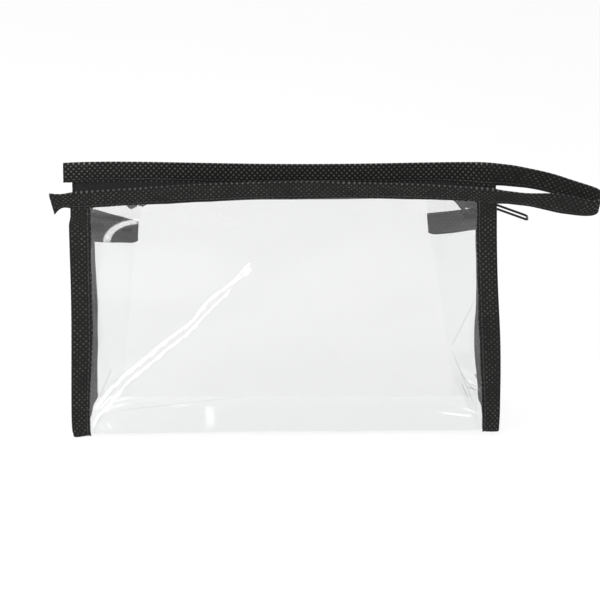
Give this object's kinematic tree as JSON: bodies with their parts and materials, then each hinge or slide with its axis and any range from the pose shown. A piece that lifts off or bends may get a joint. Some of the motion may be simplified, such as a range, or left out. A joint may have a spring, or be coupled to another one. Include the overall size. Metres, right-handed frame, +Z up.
{
  "type": "clear makeup bag",
  "caption": "Clear flat-bottomed zipped pouch with bound edges, inward-folding side gussets, a coil zipper and a wrist loop, for makeup and toiletries.",
  "frame": {"origin": "centre of the base, on the surface that the bag stands on", "axes": "+X to the right along the mouth, towards the wrist loop; +Y to the rear; +Z up"},
  "size_m": [0.3118, 0.0556, 0.1506],
  "materials": {
    "clear_pvc": "clear flexible PVC film, glossy",
    "binding": "black spunbond non-woven tape with a dotted emboss",
    "thread": "black polyester thread",
    "zipper_tape": "black woven polyester tape",
    "zipper_coil": "black nylon coil",
    "slider_metal": "black enamelled zinc alloy and wire"
  },
  "bodies": {
    "bag": {"bottom_panel": "clear_pvc", "rear_panel": "clear_pvc", "gusset_left_rear": "clear_pvc", "gusset_right_rear": "clear_pvc", "side_binding_left_bottom": "binding", "side_binding_right_bottom": "binding", "side_binding_left_rear": "binding", "side_binding_right_rear": "binding", "gusset_binding_left_rear": "binding", "gusset_binding_right_rear": "binding", "top_binding_rear": "binding", "wrist_loop": "binding", "zipper_tape_rear": "zipper_tape", "zipper_coil_rear": "zipper_coil", "stitching_rear": "thread", "stitching_bottom": "thread", "stitching_loop": "thread"},
    "front_wall": {"front_panel": "clear_pvc", "gusset_left_front": "clear_pvc", "gusset_right_front": "clear_pvc", "side_binding_left_front": "binding", "side_binding_right_front": "binding", "gusset_binding_left_front": "binding", "gusset_binding_right_front": "binding", "top_binding_front": "binding", "zipper_tape_front": "zipper_tape", "zipper_coil_front": "zipper_coil", "stitching_front": "thread"},
    "slider": {"slider_body": "slider_metal", "slider_bridge": "slider_metal"},
    "pull": {"pull_wire_frame": "slider_metal"}
  },
  "joints": [
    {"name": "mouth_open", "type": "hinge", "parent": "bag", "child": "front_wall", "pos_m": [0, -0.028, 0], "axis": [1, 0, 0], "range_deg": [0, 15]},
    {"name": "slider_slide", "type": "slide", "parent": "bag", "child": "slider", "axis": [1, 0, 0], "range_m": [-0.2, 0]},
    {"name": "pull_swing", "type": "hinge", "parent": "slider", "child": "pull", "pos_m": [0.111, 0, 0.12975], "axis": [0, -1, 0], "range_deg": [0, 171]}
  ],
  "couplings": [
    {"joint": "pull_swing", "follows": "slider_slide", "rad_per_m": -14.8}
  ]
}
